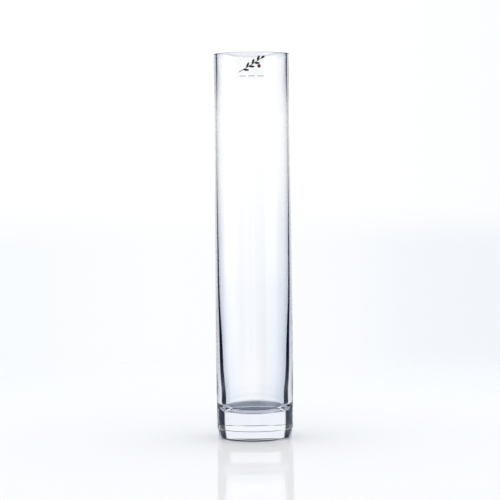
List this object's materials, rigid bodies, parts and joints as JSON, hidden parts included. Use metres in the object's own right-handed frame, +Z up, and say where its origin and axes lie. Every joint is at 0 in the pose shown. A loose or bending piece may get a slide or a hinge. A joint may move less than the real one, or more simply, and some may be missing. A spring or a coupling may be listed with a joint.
{
  "type": "glass cylinder vase",
  "caption": "Tall, slim clear-glass cylinder vase with a thick solid base, open at the top for cut flowers, and a small clear label at the mouth.",
  "frame": {"origin": "centre of the standing ring under the foot, on the surface that the vase stands on", "axes": "+Z up along the vase's axis towards the mouth; -Y towards the label, the front; +X to the right seen from the front"},
  "size_m": [0.0802, 0.0802, 0.4],
  "materials": {
    "clear_glass": "fire-polished, clear",
    "adhesive": "clear",
    "clear_film": "clear, glossy",
    "black_ink": "printed, satin",
    "red_ink": "printed, satin",
    "grey_ink": "printed, satin"
  },
  "bodies": {
    "root": {"glass_vessel": "clear_glass", "label_adhesive": "adhesive", "label_film": "clear_film", "sprig_print": "black_ink", "berry_print": "red_ink", "dash_print": "grey_ink"}
  },
  "joints": []
}
